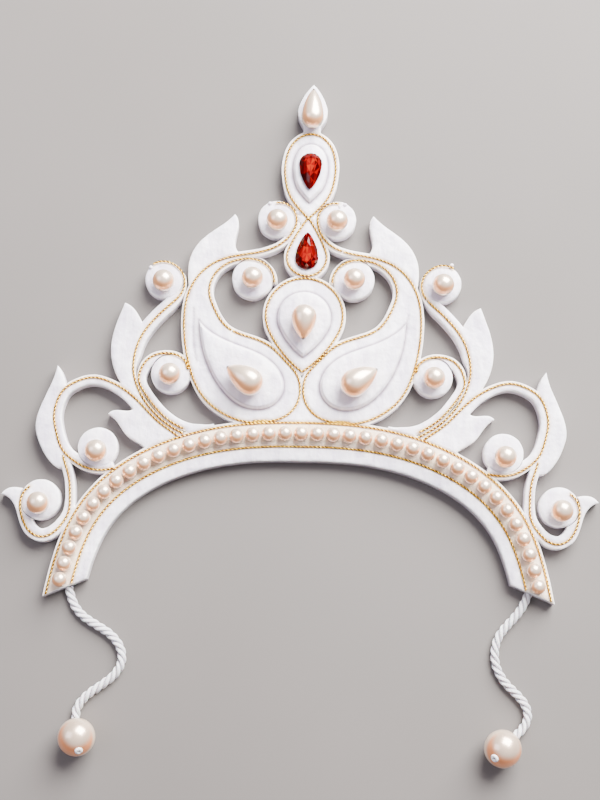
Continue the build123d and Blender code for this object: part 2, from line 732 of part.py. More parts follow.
def band_pearl_row():
    """The pearls glued in a row between the band's two zari lines."""
    points = band_line()
    line = spline(shifted(points, [-band_row / 2 * f for f in band_shares()]))
    steps = 800
    first = next(i for i in range(steps)
                 if line.position_at(i / steps).Y > band_pearl_setback - half_height) / steps
    places = []
    for i in range(band_pearls):
        t = first + (1 - 2 * first) * i / (band_pearls - 1)
        places.append(line.position_at(t) + Vector(0, 0, top + seat_gap))
    pitch = min((b - a).length for a, b in zip(places, places[1:]))
    print("band pearl pitch", round(pitch, 2))
    return [sphere_pearl(band_pearl_diameter, place) for place in places]


def build_pearls():
    """The pearls and the two stones by name."""
    over = top + seat_gap
    on_pad = over + pad_height + seat_gap
    column = {
        "centre_pearl": drop_pearl(centre_pearl_width, centre_pearl_length,
                                   spot(0, CENTRE_PEARL_Y, on_pad), -90, centre_pearl_shoulder),
        "finial_pearl": drop_pearl(finial_pearl_width, finial_pearl_length,
                                   spot(0, finial_drop().y, over) - Vector(0, finial_pearl_drop),
                                   90, finial_pearl_shoulder),
        "upper_stone": pear_stone(spot(0, UPPER_STONE_Y, on_pad), up=False),
        "lower_stone": pear_stone(spot(0, LOWER_STONE_Y, over), up=True),
    }
    pearls = {name: leaned(solid) for name, solid in column.items()}
    pearls.update(both(side_pearls))
    pearls["band_pearls"] = Compound(band_pearl_row())
    return pearls


def build_ties():
    """The two ties and the pearl at the end of each, by name."""
    ties = {}
    for name, route, heading in (("left", LEFT_TIE, left_knot_heading),
                                 ("right", RIGHT_TIE, right_knot_heading)):
        ties[name + "_tie"], points = tie(route)
        ties[name + "_tie_pearl"] = tie_pearl(points, heading)
    return ties


parts = {}
for group in (build_plates(), build_pads(), build_pearls(), build_zari(), build_ties()):
    parts.update(group)
os.makedirs("parts", exist_ok=True)
for name, solid in parts.items():
    solid.label = name
    export_step(solid, f"parts/{name}.step")
print(len(parts), "pieces")
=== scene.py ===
import math

import bpy
import numpy as np
from mathutils import Matrix, Vector, noise
from mathutils.bvhtree import BVHTree
from mathutils.geometry import delaunay_2d_cdt


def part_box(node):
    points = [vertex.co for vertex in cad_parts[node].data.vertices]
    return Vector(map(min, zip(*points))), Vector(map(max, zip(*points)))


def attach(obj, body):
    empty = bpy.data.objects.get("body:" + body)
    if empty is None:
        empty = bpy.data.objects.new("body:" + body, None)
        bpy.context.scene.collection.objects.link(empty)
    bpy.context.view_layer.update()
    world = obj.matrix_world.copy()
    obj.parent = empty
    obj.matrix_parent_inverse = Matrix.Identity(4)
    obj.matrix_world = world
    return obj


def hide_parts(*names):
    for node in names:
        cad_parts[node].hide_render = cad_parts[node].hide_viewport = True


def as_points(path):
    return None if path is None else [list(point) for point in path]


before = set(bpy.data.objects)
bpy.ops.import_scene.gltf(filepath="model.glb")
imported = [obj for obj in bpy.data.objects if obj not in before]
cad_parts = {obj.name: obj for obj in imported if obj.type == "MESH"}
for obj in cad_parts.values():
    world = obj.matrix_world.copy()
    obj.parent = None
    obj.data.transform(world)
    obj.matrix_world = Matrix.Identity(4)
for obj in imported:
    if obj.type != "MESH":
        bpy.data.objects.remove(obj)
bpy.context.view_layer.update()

# Shapes are worked out in millimetres and turned into metres when a mesh is made.
MM = 0.001
PLATE_TOP = 6.0
PAD_BASE = 6.0
ZARI_WIDTH = 0.9
# How deep pearls and pads are sunk into what carries them
SUNK = 0.1
# The spacing of the points along outlines and over plates
OUTLINE_STEP = 0.5
GRID = 0.8
# Beyond this distance a point is far from gold, pads and cuts
NEARBY = 4.0
# A plate's points above this level are on its top
TOP_ZONE = 4.6

# The crown's half size, and the middle column with its lean about its foot
HALF_WIDTH = 118.0
HALF_HEIGHT = 107.5
CENTRE_DROP_WIDTH = 31.2
CENTRE_DROP_LENGTH = 39.0
FINIAL_WIDTH = 12.4
FINIAL_LENGTH = 21.6
COLUMN_LEAN = 1.5

PLATES = ["band", "centre_drop", "stone_plate", "finial"]
SIDE_PLATES = ["paisley", "middle_scroll", "small_scroll", "loop_scroll", "outer_scroll"]
SIDE_DISCS = ["outer_disc", "loop_disc", "small_disc", "middle_disc", "curl_disc", "upper_disc"]
SIDES = ["left", "right"]
for side in SIDES:
    PLATES += [side + "_" + name for name in SIDE_PLATES + SIDE_DISCS]
PADS = ["centre_pad", "stone_pad", "left_paisley_pad", "right_paisley_pad"]
ZARI = ["band_zari", "middle_zari", "left_zari", "right_zari"]

# The routes of the two ties, in metres
LEFT_TIE = [
    (-0.0900, -0.103472), (-0.0886, -0.1090), (-0.0846, -0.1144), (-0.0786, -0.1180),
    (-0.0728, -0.1213), (-0.0686, -0.1262), (-0.0677, -0.1318), (-0.0704, -0.1369),
    (-0.0754, -0.1408), (-0.0808, -0.1444), (-0.0846, -0.1490), (-0.0850, -0.1540),
    (-0.0834, -0.1572),
]
RIGHT_TIE = [
    (0.0900, -0.103472), (0.0882, -0.1078), (0.0848, -0.1124), (0.0806, -0.1166),
    (0.0773, -0.1213), (0.0762, -0.1272), (0.0773, -0.1330), (0.0805, -0.1380),
    (0.0850, -0.1420), (0.0886, -0.1464), (0.0890, -0.1514), (0.0862, -0.1558),
    (0.0820, -0.1588),
]
TIE_DIAMETER = 0.0034
TIE_RISE = 0.0015
LEFT_TIE_LENGTH = 0.0695
RIGHT_TIE_LENGTH = 0.0665


CAMERA_DISTANCE = 0.52


def make_camera():
    """The camera, at the photograph's angle to the crown on its back."""
    tilt = math.radians(11.5)
    roll = math.radians(0.9)
    aim = Vector((-0.0006, -0.0282, 0.0060))
    away = Vector((0, -math.sin(tilt), math.cos(tilt)))
    flat_up = Vector((0, math.cos(tilt), math.sin(tilt)))
    right = math.cos(roll) * Vector((1, 0, 0)) + math.sin(roll) * flat_up
    up = math.cos(roll) * flat_up - math.sin(roll) * Vector((1, 0, 0))
    data = bpy.data.cameras.new("camera")
    data.sensor_width = 36.0
    data.lens = 58.5
    data.clip_start = 0.01
    data.clip_end = 20.0
    camera = bpy.data.objects.new("camera", data)
    bpy.context.scene.collection.objects.link(camera)
    turn = Matrix((right, up, away)).transposed().to_4x4()
    camera.matrix_world = Matrix.Translation(aim + CAMERA_DISTANCE * away) @ turn
    bpy.context.scene.camera = camera


make_camera()


# Materials
def new_material(name, **sockets):
    """A material with a Principled shader; socket names have _ for spaces."""
    material = bpy.data.materials.new(name)
    material.use_nodes = True
    tree = material.node_tree
    shader = next(n for n in tree.nodes if n.type == "BSDF_PRINCIPLED")
    for socket, value in sockets.items():
        shader.inputs[socket.replace("_", " ")].default_value = value
    return material, tree, shader


def add_node(tree, kind, **values):
    """A node with its inputs or properties set by name."""
    node = tree.nodes.new(kind)
    for key, value in values.items():
        label = key.replace("_", " ")
        if label in node.inputs:
            node.inputs[label].default_value = value
        else:
            setattr(node, key, value)
    return node


def object_noise(tree, scale, detail, stretch=None):
    """Noise over the object, with features about 1/scale metres across."""
    place = add_node(tree, "ShaderNodeTexCoord")
    out = place.outputs["Object"]
    if stretch is not None:
        mapping = add_node(tree, "ShaderNodeMapping")
        mapping.inputs["Scale"].default_value = stretch
        tree.links.new(out, mapping.inputs["Vector"])
        out = mapping.outputs["Vector"]
    texture = add_node(tree, "ShaderNodeTexNoise", Scale=scale, Detail=detail)
    tree.links.new(out, texture.inputs["Vector"])
    return texture.outputs["Fac"]


def ramp(tree, factor, stops):
    """A colour ramp over a factor."""
    node = add_node(tree, "ShaderNodeValToRGB")
    element = node.color_ramp.elements
    while len(element) < len(stops):
        element.new(0.5)
    for item, (position, colour) in zip(element, stops):
        item.position = position
        item.color = (*colour, 1.0)
    tree.links.new(factor, node.inputs["Fac"])
    return node.outputs["Color"]


def mixed(tree, factor, first, second, how="MIX"):
    """Two colours mixed; each is a colour or an output."""
    node = add_node(tree, "ShaderNodeMix", data_type="RGBA", blend_type=how)
    for value, socket in ((factor, node.inputs[0]), (first, node.inputs[6]), (second, node.inputs[7])):
        if isinstance(value, bpy.types.NodeSocket):
            tree.links.new(value, socket)
        elif isinstance(value, tuple):
            socket.default_value = (*value, 1.0)
        else:
            socket.default_value = value
    return node.outputs[2]


def bumped(tree, shader, heights):
    """Bumps on a shader, one after another: height output, strength, distance in metres."""
    normal = None
    for height, strength, distance in heights:
        bump = add_node(tree, "ShaderNodeBump", Strength=strength, Distance=distance)
        tree.links.new(height, bump.inputs["Height"])
        if normal is not None:
            tree.links.new(normal, bump.inputs["Normal"])
        normal = bump.outputs["Normal"]
    tree.links.new(normal, shader.inputs["Normal"])


def attribute(tree, name):
    """A number painted on the mesh."""
    return add_node(tree, "ShaderNodeAttribute", attribute_name=name).outputs["Fac"]


def pith_material():
    """Shola pith: soft white, faintly lilac, with knife-smoothed fibre grain, painted shade, painted warm
    bounce light and painted edge highlights.
    """
    material, tree, shader = new_material(
        "shola_pith", Roughness=0.46, Subsurface_Weight=0.18, Subsurface_Scale=0.0016,
        Sheen_Weight=0.12, Sheen_Roughness=0.5, Coat_Weight=0.14, Coat_Roughness=0.32,
    )
    shader.inputs["Subsurface Radius"].default_value = (1.0, 0.82, 0.78)
    clouds = object_noise(tree, 90.0, 4.0)
    strokes = object_noise(tree, 300.0, 3.0, (1.0, 0.3, 1.0))
    grain = object_noise(tree, 900.0, 5.0, (1.0, 0.35, 1.0))
    pores = object_noise(tree, 3200.0, 3.0)
    base = ramp(tree, clouds, [(0.3, (0.70, 0.65, 0.745)), (0.66, (0.90, 0.87, 0.925))])
    fibre = ramp(tree, strokes, [(0.34, (0.83, 0.80, 0.86)), (0.56, (1.0, 1.0, 1.0))])
    base = mixed(tree, 1.0, base, fibre, "MULTIPLY")
    # Painted highlight: the top is lightened close to its free edges
    base = mixed(tree, attribute(tree, "rim"), base, (1.0, 0.99, 0.98))
    # Painted warm bounce light near the gold cords and in the band's pearl channel, over a faint warmth
    # everywhere
    base = mixed(tree, attribute(tree, "warmth_and_bounce"), base, (1.0, 0.86, 0.60), "MULTIPLY")
    # Painted shade: darker on the walls and back, in the creases by pads and knife cuts, and on pad steps
    # away from the light
    base = mixed(tree, attribute(tree, "painted_shade"), base, (0.30, 0.24, 0.28), "MULTIPLY")
    tree.links.new(base, shader.inputs["Base Color"])
    bumped(tree, shader, [(clouds, 0.6, 0.0028), (strokes, 0.5, 0.0008), (grain, 0.4, 0.00016),
                          (pores, 0.22, 0.00005)])
    return material


def facing(tree, direction):
    """How squarely the surface faces a fixed direction."""
    where = add_node(tree, "ShaderNodeNewGeometry").outputs["Normal"]
    dot = add_node(tree, "ShaderNodeVectorMath", operation="DOT_PRODUCT")
    dot.inputs[1].default_value = direction
    tree.links.new(where, dot.inputs[0])
    return dot.outputs["Value"]


def pearl_material(name, pith_reflection_pale, lit_side_tan, shade_side_peach):
    """Faux pearl: cream, with painted light: tan on the side facing the key light, a painted peach
    reflection low on the side away from it, and a painted pale reflection of the pith round its rim.
    """
    material, tree, shader = new_material(
        name, Metallic=0.55, Roughness=0.30, IOR=1.6, Subsurface_Weight=0.03,
        Subsurface_Scale=0.0015, Coat_Weight=1.0, Coat_Roughness=0.06, Coat_IOR=1.6,
    )
    shader.inputs["Subsurface Radius"].default_value = (1.0, 0.7, 0.55)
    # Painted light: the colour follows how squarely the pearl faces the key light, tan towards it and peach
    # away from it
    painted_light = ramp(tree, facing(tree, (0.16, 0.36, 0.92)),
                [(0.30, shade_side_peach), (0.56, shade_side_peach), (0.78, lit_side_tan), (1.0, lit_side_tan)])
    # A painted pale reflection of the pith round the pearl's outline, where its surface turns away from the
    # front
    rim = ramp(tree, facing(tree, (0.0, -0.15, 0.99)), [(0.26, (1, 1, 1)), (0.50, (0, 0, 0))])
    painted_light = mixed(tree, rim, painted_light, pith_reflection_pale)
    cloud = object_noise(tree, 420.0, 2.0)
    painted_light = mixed(tree, cloud, painted_light, (0.97, 0.955, 0.94), "MULTIPLY")
    painted_light = mixed(tree, attribute(tree, "dot"), painted_light, (0.05, 0.03, 0.02))
    tree.links.new(painted_light, shader.inputs["Base Color"])
    bumped(tree, shader, [(cloud, 0.10, 0.0001)])
    return material


def zari_material():
    """Zari: gold wire wound on a brown core."""
    material, tree, shader = new_material("zari_gold", Metallic=1.0, Roughness=0.30)
    flecks = object_noise(tree, 260.0, 2.0)
    gold = ramp(tree, flecks, [(0.35, (0.80, 0.43, 0.03)), (0.65, (0.97, 0.61, 0.06))])
    colour = mixed(tree, attribute(tree, "core"), gold, (0.06, 0.018, 0.003))
    tree.links.new(colour, shader.inputs["Base Color"])
    windings = object_noise(tree, 5200.0, 1.0)
    bumped(tree, shader, [(windings, 0.35, 0.00006)])
    return material


def cord_material():
    """Twisted white satin cord."""
    material, tree, shader = new_material(
        "satin_cord", Roughness=0.28, Sheen_Weight=0.3, Sheen_Roughness=0.35,
        Subsurface_Weight=0.08, Subsurface_Scale=0.0006, Anisotropic=0.4,
    )
    fibres = add_node(tree, "ShaderNodeTexWave", wave_type="BANDS", bands_direction="X",
                      Scale=9.0, Distortion=2.5, Detail=3.0)
    place = add_node(tree, "ShaderNodeUVMap", uv_map="UVMap")
    tree.links.new(place.outputs["UV"], fibres.inputs["Vector"])
    tint = ramp(tree, fibres.outputs["Fac"], [(0.0, (0.78, 0.77, 0.80)), (1.0, (0.93, 0.92, 0.94))])
    # Painted shade in the grooves between the strands and in the knot's eye
    tint = mixed(tree, attribute(tree, "recess_shade"), tint, (0.40, 0.35, 0.40), "MULTIPLY")
    tree.links.new(tint, shader.inputs["Base Color"])
    bumped(tree, shader, [(fibres.outputs["Fac"], 0.6, 0.00018)])
    return material


def floor_material():
    """A plain pale floor with a very fine tooth."""
    material, tree, shader = new_material("floor", Roughness=0.75)
    patch = object_noise(tree, 6.0, 3.0)
    tooth = object_noise(tree, 1400.0, 3.0)
    tree.links.new(ramp(tree, patch, [(0.3, (0.118, 0.106, 0.099)), (0.7, (0.132, 0.119, 0.112))]),
                   shader.inputs["Base Color"])
    bumped(tree, shader, [(tooth, 0.15, 0.0001)])
    return material


PITH = pith_material()
PEARL = pearl_material("pearl_cream", (0.96, 0.80, 0.62), (0.72, 0.57, 0.44), (0.92, 0.42, 0.18))
TIE_PEARL = pearl_material("pearl_peach", (0.92, 0.72, 0.55), (0.66, 0.50, 0.38), (0.86, 0.32, 0.13))
GOLD = zari_material()
CORD = cord_material()


# Meshes
def make_object(name, points, faces, material, slot, smooth=True, sharp=None):
    """A piece from points in millimetres, riding on the crown."""
    mesh = bpy.data.meshes.new(name)
    mesh.from_pydata([tuple(p) for p in np.asarray(points) * MM], [], faces)
    mesh.update()
    mesh.polygons.foreach_set("use_smooth", [smooth] * len(mesh.polygons))
    if sharp is not None:
        mesh.set_sharp_from_angle(angle=math.radians(sharp))
    mesh.materials.append(material)
    piece = bpy.data.objects.new(name, mesh)
    bpy.context.scene.collection.objects.link(piece)
    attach(piece, "root")
    return piece


def paint(piece, name, values):
    """A number for each corner of a piece's mesh, for its material to read."""
    layer = piece.data.attributes.new(name, "FLOAT", "POINT")
    layer.data.foreach_set("value", np.asarray(values, np.float32))


# A pith piece's painted shade, painted warm bounce light and painted edge highlight
def paint_pith(piece, painted_shade, warmth_and_bounce, rim):
    for name, values in (("painted_shade", painted_shade), ("warmth_and_bounce", warmth_and_bounce), ("rim", rim)):
        paint(piece, name, values)


def add_tube(faces, base, count, sides, closed=False):
    """The faces of a tube whose points are stored line by line along it."""
    for k in range(sides):
        row, other = base + k * count, base + (k + 1) % sides * count
        for i in range(count if closed else count - 1):
            j = (i + 1) % count
            faces.append((row + i, row + j, other + j, other + i))
    if not closed:
        faces.append([base + k * count for k in range(sides)])
        faces.append([base + k * count + count - 1 for k in reversed(range(sides))])


def unwrap(piece, marks):
    """A place in the cord's pattern for each corner of a piece's mesh."""
    layer = piece.data.uv_layers.new(name="UVMap")
    for loop in piece.data.loops:
        layer.data[loop.index].uv = marks[loop.vertex_index]


def merged(node):
    """A node's corners in millimetres, each place once, and its triangles."""
    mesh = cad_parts[node].data
    place = np.empty(3 * len(mesh.vertices), np.float32)
    mesh.vertices.foreach_get("co", place)
    mesh.calc_loop_triangles()
    corner = np.empty(3 * len(mesh.loop_triangles), np.int32)
    mesh.loop_triangles.foreach_get("vertices", corner)
    rounded = np.round(place.reshape(-1, 3).astype(float) / MM, 4)
    points, index = np.unique(rounded, axis=0, return_inverse=True)
    tris = index.reshape(-1)[corner].reshape(-1, 3)
    whole = (tris[:, 0] != tris[:, 1]) & (tris[:, 1] != tris[:, 2]) & (tris[:, 0] != tris[:, 2])
    return points, tris[whole]


def islands(points, tris):
    """The triangles of each loose solid."""
    label = np.arange(len(points))
    while True:
        low = label[tris].min(axis=1)
        before = label.copy()
        for k in range(3):
            np.minimum.at(label, tris[:, k], low)
        label = label[label]
        if (label == before).all():
            break
    owner = label[tris[:, 0]]
    return [tris[owner == each] for each in np.unique(owner)]


def outlines(points, tris):
    """Closed chains round the flat underside, with the material on their left seen from above."""
    low = points[tris][:, :, 2].min() + 0.001
    flat = tris[(points[tris][:, :, 2] < low).all(axis=1)]
    edges = set()
    for a, b, c in flat.tolist():
        edges.update(((a, b), (b, c), (c, a)))
    after = {}
    for a, b in sorted(edges):
        if (b, a) not in edges:
            after.setdefault(b, []).append(a)
    chains = []
    while after:
        start = here = next(iter(after))
        chain = []
        while True:
            chain.append(here)
            there = after[here].pop()
            if not after[here]:
                del after[here]
            here = there
            if here == start or here not in after:
                break
        chains.append(points[chain][:, :2])
    return chains


def area(chain):
    """A flat chain's area, above 0 where it runs anticlockwise."""
    x, y = chain[:, 0], chain[:, 1]
    return 0.5 * float(np.sum(x * np.roll(y, -1) - np.roll(x, -1) * y))


def curve_point(t, first, last, span, leave, arrive):
    """The place at share t of a smooth curve with the given directions at its ends."""
    return ((2 * t ** 3 - 3 * t ** 2 + 1) * first + (3 * t ** 2 - 2 * t ** 3) * last
            + (t ** 3 - 2 * t ** 2 + t) * span * leave + (t ** 3 - t ** 2) * span * arrive)


def travelled(run):
    """How far along a run each of its points is."""
    return np.concatenate([[0], np.cumsum(np.linalg.norm(np.diff(run, axis=0), axis=1))])


def directions(run):
    """The direction along a run at each of its points."""
    along = np.gradient(run, axis=0)
    return along / np.linalg.norm(along, axis=1)[:, None]


def smooth_run(points, closed, step):
    """Evenly spaced points on a smooth curve through a run of points."""
    if closed:
        points = np.vstack([points, points[:1]])
    hop = np.diff(points, axis=0)
    chord = np.linalg.norm(hop, axis=1)
    slope = hop / chord[:, None]
    tangent = np.zeros_like(points)
    if len(points) > 2:
        before, after = chord[:-1, None], chord[1:, None]
        tangent[1:-1] = (slope[:-1] * after + slope[1:] * before) / (before + after)
    if closed:
        tangent[0] = (slope[-1] * chord[0] + slope[0] * chord[-1]) / (chord[0] + chord[-1])
        tangent[-1] = tangent[0]
    elif len(points) == 2:
        tangent[:] = slope[0]
    else:
        tangent[0] = 1.5 * slope[0] - 0.5 * tangent[1]
        tangent[-1] = 1.5 * slope[-1] - 0.5 * tangent[-2]
    fine = []
    for i in range(len(chord)):
        t = np.linspace(0, 1, max(3, int(chord[i] / 0.12) + 1), endpoint=False)[:, None]
        fine.append(curve_point(t, points[i], points[i + 1], chord[i], tangent[i], tangent[i + 1]))
    fine = np.vstack(fine + [points[-1:]])
    far = travelled(fine)
    count = max(1, round(far[-1] / step))
    at = np.linspace(0, far[-1], count + 1)
    return np.stack([np.interp(at, far, fine[:, k]) for k in range(fine.shape[1])], axis=1)


SHARP_TURN = 32.0


def smoothed(chain, step):
    """A closed chain made smooth and even, with its corners kept."""
    hop = np.linalg.norm(np.roll(chain, -1, axis=0) - chain, axis=1)
    chain = chain[hop > 0.02]
    ahead = np.roll(chain, -1, axis=0) - chain
    behind = chain - np.roll(chain, 1, axis=0)
    cross = behind[:, 0] * ahead[:, 1] - behind[:, 1] * ahead[:, 0]
    turn = np.degrees(np.abs(np.arctan2(cross, np.sum(behind * ahead, axis=1))))
    corners = np.flatnonzero(turn > SHARP_TURN)
    if len(corners) == 0:
        return smooth_run(chain, True, step)[:-1]
    out = []
    chain = np.roll(chain, -corners[0], axis=0)
    marks = list(corners - corners[0]) + [len(chain)]
    chain = np.vstack([chain, chain[:1]])
    for first, last in zip(marks, marks[1:]):
        out.append(smooth_run(chain[first:last + 1], False, step)[:-1])
    return np.vstack(out)


def inward(chain):
    """For each point of a closed chain, the flat direction into the material."""
    along = np.roll(chain, -1, axis=0) - np.roll(chain, 1, axis=0)
    along /= np.maximum(np.linalg.norm(along, axis=1), 1e-9)[:, None]
    return np.stack([-along[:, 1], along[:, 0]], axis=1)


def fence(segments):
    """A search tree of upright walls over flat segments, or None."""
    if len(segments) == 0:
        return None
    points, quads = [], []
    for a, b in segments:
        base = len(points)
        points += [(a[0], a[1], -1), (b[0], b[1], -1), (b[0], b[1], 1), (a[0], a[1], 1)]
        quads.append((base, base + 1, base + 2, base + 3))
    return BVHTree.FromPolygons(points, quads)


def sides_of(chain):
    return list(zip(chain, np.roll(chain, -1, axis=0)))


def fence_round(chains):
    return fence([pair for chain in chains for pair in sides_of(chain)])


def distance(tree, point, far=99.0):
    """How far a flat point is from a fence, or far where the fence is farther off."""
    if tree is None:
        return far
    hit = tree.find_nearest(Vector((point[0], point[1], 0)), far)
    return far if hit[3] is None else hit[3]


def within(points, chains):
    """Which flat points lie inside the chains."""
    inside = np.zeros(len(points), bool)
    x, y = points[:, 0], points[:, 1]
    for chain in chains:
        for a, b in sides_of(chain):
            if a[1] == b[1]:
                continue
            spans = (a[1] > y) != (b[1] > y)
            inside ^= spans & (x < (b[0] - a[0]) * (y - a[1]) / (b[1] - a[1]) + a[0])
    return inside


def thinned(points, gap):
    """Flat points with none nearer to an earlier one than the gap."""
    cells = {}
    kept = []
    for p in points:
        i, j = int(math.floor(p[0] / gap)), int(math.floor(p[1] / gap))
        near = (q for u in (i - 1, i, i + 1) for v in (j - 1, j, j + 1) for q in cells.get((u, v), ()))
        if all((q[0] - p[0]) ** 2 + (q[1] - p[1]) ** 2 > gap * gap for q in near):
            cells.setdefault((i, j), []).append(p)
            kept.append(p)
    return kept


# Gold cords: the middle lines of the CAD's zari. A strip this wide is one cord.
NARROWEST_ZARI = 0.6
WIDEST_ZARI = 1.15


def gold_lines(node):
    """The middle line of each stretch of zari, and whether it is closed."""
    points, tris = merged(node)
    corners = [Vector(p) for p in points]
    lines, pieces = [], []
    for part in islands(points, tris):
        chains = outlines(points, part)
        holes = [c for c in chains if area(c) < 0]
        level = points[part][:, :, 2].min() + 0.4
        for hole in holes:
            ring = smoothed(hole, OUTLINE_STEP)
            lines.append((ring + inward(ring) * ZARI_WIDTH / 2, True))
        if holes:
            continue
        tree = BVHTree.FromPolygons(corners, part.tolist())
        ring = smoothed(max(chains, key=area), 0.3)
        into = inward(ring)
        middles = ring + into * ZARI_WIDTH / 2
        even = []
        for p, n in zip(ring, into):
            hit = tree.ray_cast(Vector((p[0] + 0.01 * n[0], p[1] + 0.01 * n[1], level)),
                                Vector((n[0], n[1], 0)), 4.0)
            even.append(hit[3] is not None and NARROWEST_ZARI < hit[3] < WIDEST_ZARI)
        pieces += sides_of_strip(middles, even)
    pieces.sort(key=len, reverse=True)
    for piece in pieces:
        for run in apart(piece, lines, 0.35):
            lines.append((np.vstack([run[:1], run[2:-2:5], run[-1:]]), False))
    return lines


def sides_of_strip(middles, even):
    """The runs along a strip's two sides, broken only at its ends."""
    count = len(middles)
    breaks = []
    i = 0
    while i < count:
        if even[i]:
            i += 1
            continue
        j = i
        while j < count and not even[j]:
            j += 1
        before, after = middles[i - 1], middles[j % count]
        if np.linalg.norm(before - after) < 0.75 or j - i > 40:
            breaks.append((i, j))
        i = j
    if len(breaks) < 2:
        return []
    runs = []
    for (_, start), (end, _) in zip(breaks, breaks[1:] + [(breaks[0][0] + count, 0)]):
        if end - start > 5:
            runs.append(middles[np.arange(start, end) % count])
    return runs


def apart(piece, lines, gap):
    """The stretches of a run that no earlier line covers."""
    tree = fence([pair for line, closed in lines
                  for run in [smooth_run(line, closed, 0.3)] for pair in zip(run, run[1:])])
    runs, run = [], []
    for p in list(piece) + [None]:
        if p is not None and distance(tree, p, 5.0) > gap:
            run.append(p)
            continue
        if len(run) > 7:
            runs.append(np.array(run))
        run = []
    return runs


gold = {node: gold_lines(node) for node in ZARI}
gold_runs = []
for node in ZARI:
    for line, closed in gold[node]:
        gold_runs.append((smooth_run(line, closed, OUTLINE_STEP), closed))
gold_fence = fence([pair for run, _ in gold_runs for pair in zip(run, run[1:])])

# A gold ply wound with a thinner dark one: radius and distance from the middle line
PLIES = [(0.31, 0.14, 0.0), (0.21, 0.29, 1.0)]
PLY_PITCH = 1.6
PLY_STEP = 0.2
PLY_SIDES = 6
ZARI_LEVEL = 6.12


def plies(line, closed, start, points, faces, cores):
    """Adds the two plies twisted about a line."""
    run = smooth_run(line, closed, PLY_STEP)
    along = directions(run)
    aside = np.stack([-along[:, 1], along[:, 0], np.zeros(len(run))], axis=1)
    far = travelled(run)
    pitch = far[-1] / max(1, round(far[-1] / PLY_PITCH)) if closed else PLY_PITCH
    if closed:
        run, aside, far = run[:-1], aside[:-1], far[:-1]
    centre = np.column_stack([run, np.full(len(run), ZARI_LEVEL)])
    up = np.array([0.0, 0.0, 1.0])
    for turn, (radius, offset, core) in enumerate(PLIES):
        phase = 2 * math.pi * far / pitch + math.pi * turn + start
        middle = (centre + aside * (offset * np.cos(phase))[:, None]
                  + up * (offset * np.sin(phase))[:, None])
        base = len(points)
        for k in range(PLY_SIDES):
            angle = 2 * math.pi * k / PLY_SIDES
            points.extend(middle + radius * (math.cos(angle) * aside + math.sin(angle) * up))
            cores.extend([core] * len(run))
        add_tube(faces, base, len(run), PLY_SIDES, closed)


for node in ZARI:
    points, faces, cores = [], [], []
    for number, (line, closed) in enumerate(gold[node]):
        plies(line, closed, 1.1 * number, points, faces, cores)
    cord = make_object(node.replace("zari", "gold_cord"), points, faces, GOLD, "zari")
    paint(cord, "core", cores)
    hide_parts(node)


# Carved plates
def wobble(x, y, size, seed):
    """Smooth seeded unevenness from about -1 to 1."""
    return noise.noise(Vector((x / size, y / size, seed)))


def fill_points(chains, gold_here, pads_here, rings):
    """Points inside chains: rings along the edge, rows along the gold and pads, a grid between."""
    edge = fence_round(chains)
    found = []
    for reach in rings:
        for chain in chains:
            for p in chain + inward(chain) * reach:
                if distance(edge, p) > 0.96 * reach:
                    found.append(p)
    for reach in (0.0, 0.5, -0.5, 0.95, -0.95, 1.5, -1.5):
        for run in gold_here:
            normal = np.stack([-np.gradient(run[:, 1]), np.gradient(run[:, 0])], axis=1)
            normal /= np.maximum(np.linalg.norm(normal, axis=1), 1e-9)[:, None]
            for p in run + normal * reach:
                if distance(edge, p) > 0.5 and distance(gold_fence, p, NEARBY) > abs(reach) - 0.05:
                    found.append(p)
    for reach in (-0.5, 0.0, -1.1):
        for pad in pads_here:
            for p in pad + inward(pad) * reach:
                if distance(edge, p) > 0.5 and distance(gold_fence, p, NEARBY) > 0.6:
                    found.append(p)
    low = np.min([c.min(axis=0) for c in chains], axis=0)
    high = np.max([c.max(axis=0) for c in chains], axis=0)
    rows = []
    for j, y in enumerate(np.arange(low[1], high[1], GRID * 0.866)):
        x = np.arange(low[0] + (j % 2) * GRID / 2, high[0], GRID)
        rows.append(np.column_stack([x, np.full(len(x), y)]))
    rows = np.vstack(rows)
    for p in rows[within(rows, chains)]:
        if distance(edge, p) > rings[-1] + 0.4 * GRID and distance(gold_fence, p, NEARBY) > 1.9:
            found.append(p)
    found = np.array(thinned(found, 0.2))
    return found[within(found, chains)]


def filled(chains, inner):
    """Triangles over the inside of chains, on their own points and the inner ones."""
    flat, edges = [], []
    for chain in chains:
        base = len(flat)
        flat += [Vector(p) for p in chain]
        edges += [(base + i, base + (i + 1) % len(chain)) for i in range(len(chain))]
    flat += [Vector(p) for p in inner]
    out = delaunay_2d_cdt(flat, edges, [], 2, 1e-6)
    points = np.array([tuple(p) for p in out[0]])
    faces = []
    for face in out[2]:
        a, b, c = (points[i] for i in face[:3])
        turn = (b[0] - a[0]) * (c[1] - a[1]) - (b[1] - a[1]) * (c[0] - a[0])
        faces.append(tuple(face) if turn > 0 else tuple(reversed(face)))
    place = {}
    for i, sources in enumerate(out[3]):
        for source in sources:
            place[source] = i
    return points, faces, place


